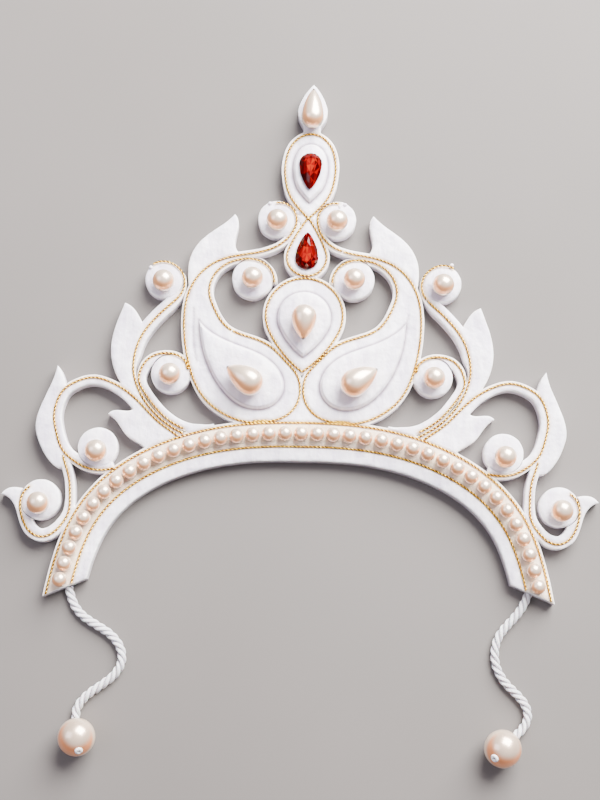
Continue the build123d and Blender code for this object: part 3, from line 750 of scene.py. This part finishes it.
def carved(name, chains, inner, low, height):
    """A closed piece: a shaped top over upright walls and a flat back."""
    flat, faces, place = filled(chains, inner)
    points = [(x, y, height(x, y)) for x, y in flat]
    base = 0
    bottom = []
    walls = fence_round(chains)
    for chain in chains:
        count = len(chain)
        rows = [[place[base + i] for i in range(count)]]
        # The back's edge is broken by 0.12 mm, except where a sliver is too thin for it
        inset = chain + inward(chain) * 0.12
        thin = np.array([distance(walls, p) < 0.1 for p in inset])
        thin |= np.roll(thin, 1) | np.roll(thin, -1)
        inset[thin] = chain[thin]
        for share, line in ((0.55, chain), (0.06, chain), (0.0, inset)):
            rows.append(list(range(len(points), len(points) + count)))
            for i, (x, y) in enumerate(line):
                rim = points[rows[0][i]][2]
                points.append((x, y, low + share * (rim - low)))
        for upper, lower in zip(rows, rows[1:]):
            for i in range(count):
                j = (i + 1) % count
                faces.append((upper[i], lower[i], lower[j], upper[j]))
        bottom.append((inset, rows[-1]))
        base += count
    back, back_faces, back_place = filled([line for line, _ in bottom], np.empty((0, 2)))
    ring = [index for _, row in bottom for index in row]
    match = {i: ring[source] for source, i in back_place.items()}
    for face in back_faces:
        if all(i in match for i in face):
            faces.append(tuple(match[i] for i in reversed(face)))
    return make_object(name, points, faces, PITH, "pith", sharp=50), np.array(points)


def soft_edge(gap, radius, drop, reach):
    """How far the top has fallen, so near to an edge: a small round and a long soft fall."""
    fall = 0.0
    if gap < radius:
        fall += radius - math.sqrt(max(0.0, radius * radius - (radius - gap) ** 2))
    if gap < reach:
        fall += drop * (1 - gap / reach) ** 2
    return fall


# How far and how deep the gold cords and the knife's cuts press into the pith, and how uneven it is
GOLD_DIP_REACH = 1.3
GOLD_DIP = 0.42
CUT_REACH = 1.4
CUT_DEPTH = 0.35
UNEVENNESS = 0.06
# Edges: the small round's radius, the long fall's drop and reach, and the rings of points inside
DISC_EDGE = (0.75, 0.55, 3.6, (0.14, 0.38, 0.75))
PLATE_EDGE = (0.42, 0.30, 2.4, (0.12, 0.30, 0.60))
# Plates nearer than this to a neighbour are glued to it, and grow by this to all but close the gap
GLUED = 0.3
CLOSE_UP = 0.044

# Which plates each pad lies on, and where the pith is cut
PAD_PLATES = {
    "centre_pad": ["centre_drop"], "stone_pad": ["stone_plate"],
    "left_paisley_pad": ["left_paisley"], "right_paisley_pad": ["right_paisley"],
}
GROOVES = {
    "left_paisley": [[(-44.3, 9.5), (-44.2, 3.5), (-44.1, -2.0), (-43.6, -8.0), (-42.4, -13.0)]],
    "right_paisley": [[(42.8, 7.5), (41.8, 1.0), (39.6, -5.0)]],
    "left_curl_disc": [[(-28.1, 22.3), (-27.8, 21.7)]],
}
pad_chains = {}
for node in PADS:
    points, tris = merged(node)
    pad_chains[node] = smoothed(max(outlines(points, tris), key=area), OUTLINE_STEP)

# The strip of the band between its two gold lines, where the small pearls sit
first, second = sorted((smooth_run(line, closed, OUTLINE_STEP) for line, closed in gold["band_zari"]),
                       key=len)[-2:]
if np.linalg.norm(first[-1] - second[0]) > np.linalg.norm(first[-1] - second[-1]):
    second = second[::-1]
band_channel = np.vstack([first, second])

chains_of = {}
for node in PLATES:
    points, tris = merged(node)
    chains_of[node] = [smoothed(c, OUTLINE_STEP) for c in outlines(points, tris) if abs(area(c)) > 0.5]


def joined_to_others(node):
    """For each chain of a plate, which points touch a neighbour that it is glued flush to."""
    if node.endswith("disc"):
        return [np.zeros(len(c), bool) for c in chains_of[node]]
    tree = fence_round([c for other in PLATES if other != node for c in chains_of[other]])
    return [np.array([distance(tree, p) < GLUED for p in c]) for c in chains_of[node]]


def make_plate(node, number):
    disc = node.endswith("disc")
    flush = joined_to_others(node)
    chains, free = [], []
    for chain, touching in zip(chains_of[node], flush):
        into = inward(chain)
        cut = np.array([0.07 * wobble(x, y, 4.0, 7.3 + number) + 0.03 for x, y in chain])
        if disc:
            cut = np.array([0.16 + 0.14 * wobble(x, y, 3.4, 3.1 + number) for x, y in chain])
        shift = np.where(touching, -CLOSE_UP, np.maximum(cut, 0.0))
        chain = chain + into * shift[:, None]
        chains.append(chain)
        for i, (a, b) in enumerate(sides_of(chain)):
            if not (touching[i] and touching[(i + 1) % len(chain)]):
                free.append((a, b))
    edge = fence(free)
    whole = fence_round(chains)
    gold_here = [run for run, _ in gold_runs if any(distance(whole, p) < 9 for p in run[::8])]
    radius, drop, reach, rings = DISC_EDGE if disc else PLATE_EDGE
    pads_here = [pad_chains[pad] for pad in PADS if node in PAD_PLATES[pad]]
    inner = fill_points(chains, gold_here, pads_here, rings)
    grooves = fence([pair for run in GROOVES.get(node, []) for pair in zip(run, run[1:])])

    def height(x, y):
        fall = soft_edge(distance(edge, (x, y)), radius, drop, reach)
        gap = distance(gold_fence, (x, y), NEARBY)
        if gap < GOLD_DIP_REACH:
            fall += GOLD_DIP * (0.5 + 0.5 * math.cos(math.pi * gap / GOLD_DIP_REACH))
        gap = distance(grooves, (x, y), NEARBY)
        if gap < CUT_REACH:
            fall += CUT_DEPTH * (1 - gap / CUT_REACH) ** 2
        return PLATE_TOP - fall - UNEVENNESS + UNEVENNESS * wobble(x, y, 5.0, 11.7)

    piece, flat = carved("carved_" + node, chains, inner, 0.0, height)
    pad_fence = fence_round(pads_here)
    # Walls and back keep a painted shade of 0.24 and a faint warmth of 0.1; on the top go painted shade by
    # pads and cuts, painted warm bounce light near the gold, and a painted highlight by free edges
    painted_shade, warmth_and_bounce, rim = np.full(len(flat), 0.24), np.full(len(flat), 0.1), np.zeros(len(flat))
    for i, (x, y, z) in enumerate(flat):
        if z > TOP_ZONE:
            by_pad = 1 - distance(pad_fence, (x, y), NEARBY) / 1.2
            by_groove = 0.8 - distance(grooves, (x, y), NEARBY)
            painted_shade[i] = max(0.0, by_pad, by_groove)
            warmth_and_bounce[i] = max(0.0, 1 - distance(gold_fence, (x, y), NEARBY) / 1.5)
            rim[i] = max(0.0, 1 - distance(edge, (x, y), NEARBY) / 0.6)
    # The band's pearl channel gets full painted warm bounce light from its pearls and gold
    if node == "band":
        channel = within(flat[:, :2], [band_channel])
        warmth_and_bounce[channel & (flat[:, 2] > TOP_ZONE)] = 1.0
    paint_pith(piece, painted_shade, warmth_and_bounce, rim)
    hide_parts(node)


for number, node in enumerate(PLATES):
    make_plate(node, number)


# Raised pads
def make_pad(node):
    chains = [pad_chains[node]]
    edge = fence_round(chains)
    lip, lip_reach, shoulder, shoulder_reach = 1.35, 1.1, 0.95, 4.2
    inner = fill_points(chains, [], [], (0.2, 0.6, lip_reach, 1.45))

    def height(x, y):
        gap = distance(edge, (x, y))
        chamfer = min(1.0, gap / lip_reach) ** 0.85
        soft = 1 - min(1.0, gap / shoulder_reach)
        return PAD_BASE + lip * chamfer + shoulder * (1 - soft ** 2.2)

    piece, flat = carved("carved_" + node, chains, inner, PAD_BASE - SUNK, height)
    # The step round a pad shows as two grey lines of painted shade away from the light and a painted
    # highlight towards it; painted shade also runs along the pad's foot all round
    painted_shade, rim = np.zeros(len(flat)), np.zeros(len(flat))
    for i, (x, y, z) in enumerate(flat):
        near, _, _, gap = edge.find_nearest(Vector((x, y, 0)))
        lit = (near - Vector((x, y, 0))).normalized().dot(Vector((0.6, 0.8, 0)))
        step = max(0.0, 1 - abs(gap - lip_reach) / 0.45)
        painted_shade[i] = max(0.9 * (1 - gap / 0.5), 0.55 * step * max(0.0, -lit), 0.0)
        rim[i] = step * max(0.0, lit)
    paint_pith(piece, painted_shade, np.zeros(len(flat)), rim)
    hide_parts(node)


for node in PADS:
    make_pad(node)


# Pearls
def lathe(profile, place, axis, sides, floor_level=None):
    """A round form from (along, radius) pairs about an axis through a place."""
    axis = Vector(axis).normalized()
    across = axis.orthogonal().normalized()
    other = axis.cross(across)
    points, faces = [], []
    for along, radius in profile:
        for k in range(sides):
            angle = 2 * math.pi * k / sides
            p = Vector(place) + axis * along + radius * (math.cos(angle) * across + math.sin(angle) * other)
            if floor_level is not None:
                p.z = max(p.z, floor_level)
            points.append(tuple(p))
    for i in range(len(profile) - 1):
        for k in range(sides):
            a, b = i * sides + k, i * sides + (k + 1) % sides
            faces.append((a, b, b + sides, a + sides))
    faces.append(list(reversed(range(sides))))
    faces.append([(len(profile) - 1) * sides + k for k in range(sides)])
    return points, faces


def ball_profile(radius, steps):
    """Half a circle, a hair open at both ends."""
    out = []
    for i in range(steps + 1):
        angle = math.pi * (0.02 + 0.96 * i / steps)
        out.append((-radius * math.cos(angle), radius * math.sin(angle)))
    return out


def ball(centre, radius, steps, sides, floor_level=None):
    return lathe(ball_profile(radius, steps), centre, (0, 0, 1), sides, floor_level)


def gathered(forms):
    """The points and faces of several forms put together."""
    all_points, all_faces = [], []
    for points, faces in forms:
        base = len(all_points)
        all_faces += [[base + i for i in face] for face in faces]
        all_points += points
    return all_points, all_faces


# Nubs of white glue: place, radius and level. Five are at the gold cords' ends, and the last fills
# the notch between the left upper disc and the stone plate.
NUBS = [
    (-62.3, 26.1, 0.8, 5.75), (-14.2, 54.4, 0.9, 5.75), (14.6, 53.4, 0.7, 5.75), (16.7, 54.3, 0.8, 5.75),
    (60.6, 29.0, 0.8, 5.75), (-2.6, 51.0, 1.3, 4.4),
]


def make_nubs():
    forms = []
    for x, y, radius, level in NUBS:
        points, faces = ball((x, y, level), radius, 10, 14)
        points = [(px + 0.18 * wobble(px, pz, 0.9, x), py + 0.18 * wobble(py, pz, 0.9, y), pz)
                  for px, py, pz in points]
        forms.append((points, faces))
    points, faces = gathered(forms)
    piece = make_object("zari_nubs", points, faces, PITH, "pith")
    plain = np.zeros(len(points))
    paint_pith(piece, plain, plain, plain)


def box_mm(node):
    low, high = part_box(node)
    return low / MM, high / MM


def make_ball(node):
    """A round pearl on its flat seat."""
    low, high = box_mm(node)
    radius = (high.x - low.x) / 2
    centre = Vector(((low.x + high.x) / 2, (low.y + high.y) / 2, high.z - radius))
    points, faces = ball(centre, radius, 28, 44, low.z - SUNK)
    piece = make_object("nacre_" + node, points, faces, PEARL, "pearl")
    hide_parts(node)


make_nubs()
for side in SIDES:
    for name in SIDE_DISCS:
        make_ball(side + "_" + name.replace("disc", "pearl"))


def make_band_pearls():
    points, tris = merged("band_pearls")
    forms = []
    for part in islands(points, tris):
        own = points[np.unique(part)]
        low, high = own.min(axis=0).tolist(), own.max(axis=0).tolist()
        radius = (high[0] - low[0]) / 2
        centre = Vector(((low[0] + high[0]) / 2, (low[1] + high[1]) / 2, high[2] - radius))
        forms.append(ball(centre, radius, 20, 32, low[2] - SUNK))
    piece = make_object("nacre_band_pearls", *gathered(forms), PEARL, "pearl")
    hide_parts("band_pearls")


make_band_pearls()


def drop_profile(width, length, shoulder):
    """A drop pearl's outline from its round end to its tip."""
    r = width / 2
    tip = length - r
    out = []
    a = math.radians(shoulder)
    for i in range(19):
        angle = math.pi * 0.02 + (math.pi / 2 + a - math.pi * 0.02) * i / 18
        out.append((-r * math.cos(angle), r * math.sin(angle)))
    knee = Vector((r * math.sin(a), r * math.cos(a)))
    point = Vector((tip - 0.15, 0.22))
    start = Vector((math.cos(a), -math.sin(a)))
    span = (point - knee).length
    chord = math.atan2(point.y - knee.y, point.x - knee.x)
    end = Vector((math.cos(2 * chord + a), math.sin(2 * chord + a)))
    for i in range(1, 17):
        p = curve_point(i / 16, knee, point, span, start, end)
        out.append((p.x, max(p.y, 0.18)))
    return out


COLUMN_FOOT = Vector((0, 0.064 * HALF_HEIGHT - (CENTRE_DROP_LENGTH - CENTRE_DROP_WIDTH / 2), 0))


def leaned(point):
    """A place of the middle column, turned with it."""
    return Matrix.Rotation(-math.radians(COLUMN_LEAN), 3, "Z") @ (Vector(point) - COLUMN_FOOT) + COLUMN_FOOT


def make_drop_pearl(node, width, length, place, heading, shoulder):
    low, high = box_mm(node)
    r = width / 2
    centre = Vector((place[0], place[1], low.z + 0.8 * r))
    turn = math.radians(heading)
    axis = (math.cos(turn), math.sin(turn), 0)
    points, faces = lathe(drop_profile(width, length, shoulder), centre, axis, 44, low.z - SUNK)
    piece = make_object("nacre_" + node, points, faces, PEARL, "pearl")
    tip = centre + Vector(axis) * (length - r - 0.5)
    paint(piece, "dot", [1.0 if (Vector(p) - tip).length < 0.85 else 0.0 for p in points])
    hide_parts(node)


make_drop_pearl("centre_pearl", 10.4, 14.8, leaned((0, 0.041 * HALF_HEIGHT, 0)), -90 - COLUMN_LEAN, 6.0)
FINIAL_TIP = COLUMN_FOOT.y + (HALF_HEIGHT - COLUMN_FOOT.y) / math.cos(math.radians(COLUMN_LEAN))
FINIAL_Y = FINIAL_TIP - (FINIAL_LENGTH - FINIAL_WIDTH / 2) - 1.0
make_drop_pearl("finial_pearl", 9.3, 17.4, leaned((0, FINIAL_Y, 0)), 90 - COLUMN_LEAN, 2.0)
PAISLEY_PEARL = (0.175 * HALF_WIDTH, -0.209 * HALF_HEIGHT)
make_drop_pearl("right_paisley_pearl", 11.2, 16.8, PAISLEY_PEARL, 32.5, 2.0)
make_drop_pearl("left_paisley_pearl", 11.2, 16.8, (-PAISLEY_PEARL[0], PAISLEY_PEARL[1]), 147.5, 2.0)


# Stones
def stone_material():
    """Red glass over foil, with painted light: each facet is as dark or bright as its paint says, standing
    in for the foil's reflections and glints.
    """
    material, tree, shader = new_material(
        "red_stone", Roughness=0.03, IOR=1.5, Coat_Weight=0.15, Coat_Roughness=0.01, Coat_IOR=1.5,
        Specular_IOR_Level=0.1,
    )
    sparkle = attribute(tree, "sparkle")
    speck = object_noise(tree, 700.0, 2.0)
    lit = add_node(tree, "ShaderNodeMath", operation="MULTIPLY_ADD")
    tree.links.new(speck, lit.inputs[0])
    lit.inputs[1].default_value = 0.16
    tree.links.new(sparkle, lit.inputs[2])
    red = ramp(tree, lit.outputs[0], [(0.08, (0.012, 0.0, 0.0)), (0.32, (0.040, 0.0, 0.0)),
                                      (0.58, (0.105, 0.0, 0.0)), (0.85, (0.15, 0.0, 0.0)),
                                      (1.0, (0.21, 0.010, 0.0))])
    tree.links.new(red, shader.inputs["Base Color"])
    return material


STONE = stone_material()
STONE_WIDTH = 9.4
STONE_LENGTH = 15.6
STONE_WAIST = 0.48
GIRDLE_SHARE = 1.02
# Each facet's painted light, how bright it is, from the tip round to the left: the crown's rim, its upper
# facets, and the two rings of back facets, painted on the table as if seen through it
RIM = [0.30, 0.62, 0.12, 0.45, 0.08, 0.50, 0.15, 0.34, 0.60, 0.20, 0.42, 0.10, 0.52, 0.05, 0.36, 0.22]
UPPER = [0.44, 0.18, 0.66, 0.10, 0.48, 0.24, 0.55, 0.30, 0.14, 0.50, 0.06, 0.40, 0.20, 0.58, 0.12, 0.35]
OUTER_BACK = [0.52, 0.30, 0.70, 0.16, 0.86, 0.60, 0.44, 0.10,
              0.64, 0.34, 0.72, 0.20, 0.12, 0.56, 0.26, 0.62]
INNER_BACK = [0.88, 0.66, 0.95, 0.50, 0.80, 0.58, 0.97, 0.74]


def pear_ring(share, count, half_step=0.0):
    """Points of a pear outline, its tip down the Y axis."""
    r = STONE_WIDTH / 2
    tip = STONE_LENGTH - r
    out = []
    for i in range(count):
        a = 2 * math.pi * (i + half_step) / count - math.pi / 2
        pull = max(0.0, -math.sin(a))
        x = r * math.cos(a) * (1 - STONE_WAIST * pull * pull)
        y = r * math.sin(a) if pull == 0 else -tip * pull
        out.append((x * share, y * share))
    return out


def make_stone(node, place, up, shift):
    """A pear-cut stone: girdle, crown facets and a table cut into the back facets seen through it, each
    facet with painted light.
    """
    low, high = box_mm(node)
    spin = Matrix.Rotation(math.radians(-COLUMN_LEAN + (180 if up else 0)), 2)
    points, faces, sparkle = [], [], []

    def ring(share, count, z, half_step=0.0):
        start = len(points)
        for flat in pear_ring(share, count, half_step):
            p = spin @ Vector(flat)
            points.append((p.x + place[0], p.y + place[1], z))
        return start

    def facet(corners, bright):
        faces.append(corners)
        sparkle.append(bright)

    count = 16
    half = count // 2
    foot = ring(GIRDLE_SHARE, count, low.z)
    girdle = ring(GIRDLE_SHARE, count, low.z + 0.7)
    crown = ring(0.83, count, low.z + 1.7, 0.5)
    table = ring(0.58, half, high.z)
    back = ring(0.40, half, high.z, 0.5)
    keel = ring(0.10, 1, high.z)
    facet(list(reversed(range(foot, foot + count))), 0.1)
    for i in range(count):
        j = (i + 1) % count
        k = (i + shift) % count
        facet((foot + i, foot + j, girdle + j, girdle + i), 0.06)
        facet((girdle + i, girdle + j, crown + i), RIM[k])
        facet((crown + i, girdle + j, crown + j), 0.5 * RIM[k] + 0.04)
    for i in range(half):
        j = (i + 1) % half
        a, b, before = crown + 2 * i, crown + (2 * i + 1) % count, crown + (2 * i - 1) % count
        k = (2 * i + shift) % count
        facet((table + i, a, b), UPPER[k])
        facet((table + i, b, table + j), UPPER[(k + 1) % count] * 0.8)
        facet((table + i, before, a), UPPER[(k + 5) % count])
        facet((table + i, table + j, back + i), OUTER_BACK[k])
        facet((back + i, table + j, back + j), OUTER_BACK[(k + 1) % count])
        facet((back + i, back + j, keel), INNER_BACK[(i + shift) % half])
    stone = make_object("cut_" + node, points, faces, STONE, "red_stone", smooth=False)
    layer = stone.data.attributes.new("sparkle", "FLOAT", "FACE")
    layer.data.foreach_set("value", np.array(sparkle, np.float32))
    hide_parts(node)


make_stone("upper_stone", leaned((0, 0.658 * HALF_HEIGHT, 0)), False, 0)
make_stone("lower_stone", leaned((0, 0.287 * HALF_HEIGHT, 0)), True, 3)


# Ties
def make_tie(side, route):
    """A twisted cord along its route, from the band's leg into its pearl."""
    data = bpy.data.curves.new("tie_line", "CURVE")
    data.dimensions = "3D"
    data.resolution_u = 24
    spline = data.splines.new("NURBS")
    spline.points.add(len(route) - 1)
    for point, (x, y) in zip(spline.points, route):
        point.co = (x, y, TIE_DIAMETER / 2, 1.0)
    spline.points[-1].co.z += TIE_RISE
    spline.order_u = 3
    spline.use_endpoint_u = True
    line = bpy.data.objects.new("tie_line", data)
    bpy.context.scene.collection.objects.link(line)
    bpy.context.view_layer.update()
    traced = bpy.data.meshes.new_from_object(line)
    path = [v.co.copy() for v in traced.vertices]
    bpy.data.objects.remove(line)
    bpy.data.curves.remove(data)
    bpy.data.meshes.remove(traced)

    run = smooth_run(np.array([tuple(p) for p in path]) / MM, False, 0.25)
    along = directions(run)
    up = np.array([0.0, 0.0, 1.0])
    aside = np.cross(up, along)
    aside /= np.linalg.norm(aside, axis=1)[:, None]
    over = np.cross(along, aside)
    far = travelled(run)
    strand, offset, lay, around = 0.93, 0.78, 9.2, 12
    points, faces, marks, recess_shade = [], [], [], []
    for k in range(3):
        phase = -2 * math.pi * far / lay + 2 * math.pi * k / 3
        middle = run + aside * (offset * np.cos(phase))[:, None] + over * (offset * np.sin(phase))[:, None]
        base = len(points)
        for s in range(around):
            angle = 2 * math.pi * s / around
            points.extend(middle + strand * (math.cos(angle) * aside + math.sin(angle) * over))
            marks.extend(zip(np.full(len(run), s / around), far / 10.0))
            # Painted shade where a strand's surface lies near the rope's axis, in the grooves between
            # strands
            deep = np.hypot(offset * np.cos(phase) + strand * math.cos(angle),
                            offset * np.sin(phase) + strand * math.sin(angle))
            recess_shade.extend(np.clip((1.5 - deep) / 0.42, 0, 1))
        add_tube(faces, base, len(run), around)
    rope = make_object("rope_" + side + "_tie", points, faces, CORD, "tie_cord")
    paint(rope, "recess_shade", recess_shade)
    unwrap(rope, marks)
    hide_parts(side + "_tie")
    exit_point = (route[0][0], route[0][1], TIE_DIAMETER / 2)
    return rope, exit_point, path


# Where each knot sits on its pearl: its heading in degrees, and how far it is tilted up
KNOT_HEADING = {"left": -68.0, "right": -141.0}
KNOT_TILT = math.radians(45)
KNOT_SIDES = 24


def make_tie_pearl(side):
    low, high = box_mm(side + "_tie_pearl")
    radius = (high.z - low.z) / 2
    centre = (low + high) / 2
    points, faces = ball(centre, radius, 40, 64)
    piece = make_object("nacre_" + side + "_tie_pearl", points, faces, TIE_PEARL, "tie_pearl")
    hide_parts(side + "_tie_pearl")

    # The cord's end comes out of the pearl in a small tight knot, its eye darkened with painted shade
    turn = math.radians(KNOT_HEADING[side])
    level = math.cos(KNOT_TILT)
    way = Vector((level * math.cos(turn), level * math.sin(turn), math.sin(KNOT_TILT)))
    ring, thick = 0.85, 0.72
    profile = [(-0.9, 0.9)]
    profile += [(thick * math.sin(t), ring + thick * math.cos(t)) for t in np.linspace(-0.6, 2.9, 12)]
    profile += [(0.15, 0.16), (-0.1, 0.06)]
    points, faces = lathe(profile, centre + way * (radius - 0.15), way, KNOT_SIDES)
    knot = make_object("knot_" + side + "_tie", points, faces, CORD, "tie_cord")
    rings = np.repeat(np.arange(len(profile)), KNOT_SIDES)
    paint(knot, "recess_shade", np.where(rings >= len(profile) - 3, 1.0, 0.0))
    unwrap(knot, [(k / KNOT_SIDES, i / 12) for i in range(len(profile)) for k in range(KNOT_SIDES)])
    return piece, knot


for side, route, length in (("left", LEFT_TIE, LEFT_TIE_LENGTH), ("right", RIGHT_TIE, RIGHT_TIE_LENGTH)):
    rope, exit_point, path = make_tie(side, route)
    bead, knot = make_tie_pearl(side)
    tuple(exit_point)
    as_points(path)


# Floor and light
def make_floor():
    mesh = bpy.data.meshes.new("floor")
    half = 2.5
    mesh.from_pydata([(-half, -half, 0), (half, -half, 0), (half, half, 0), (-half, half, 0)], [],
                     [(0, 1, 2, 3)])
    mesh.materials.append(floor_material())
    floor = bpy.data.objects.new("floor", mesh)
    bpy.context.scene.collection.objects.link(floor)


def make_light(name, place, aim, size, power, colour):
    data = bpy.data.lights.new(name, "AREA")
    data.shape = "SQUARE"
    data.size = size
    data.energy = power
    data.color = colour
    light = bpy.data.objects.new(name, data)
    bpy.context.scene.collection.objects.link(light)
    light.location = place
    light.rotation_mode = "QUATERNION"
    light.rotation_quaternion = (Vector(aim) - Vector(place)).to_track_quat("-Z", "Y")


make_floor()
make_light("key", (0.44, 0.66, 0.68), (0, -0.02, 0), 0.90, 116.0, (1.0, 0.985, 0.965))
make_light("fill", (-0.70, 0.10, 0.75), (0, 0, 0), 0.6, 5.0, (0.86, 0.83, 1.0))


def make_world():
    """A soft studio: bright overhead, dim round the sides."""
    world = bpy.data.worlds.new("studio")
    world.use_nodes = True
    tree = world.node_tree
    place = add_node(tree, "ShaderNodeTexCoord")
    split = add_node(tree, "ShaderNodeSeparateXYZ")
    tree.links.new(place.outputs["Generated"], split.inputs["Vector"])
    sky = ramp(tree, split.outputs["Z"], [(0.0, (0.24, 0.21, 0.23)), (0.45, (0.33, 0.30, 0.34)),
                                          (0.9, (0.97, 0.92, 1.0))])
    tree.links.new(sky, tree.nodes["Background"].inputs["Color"])
    tree.nodes["Background"].inputs["Strength"].default_value = 0.85
    bpy.context.scene.world = world


make_world()
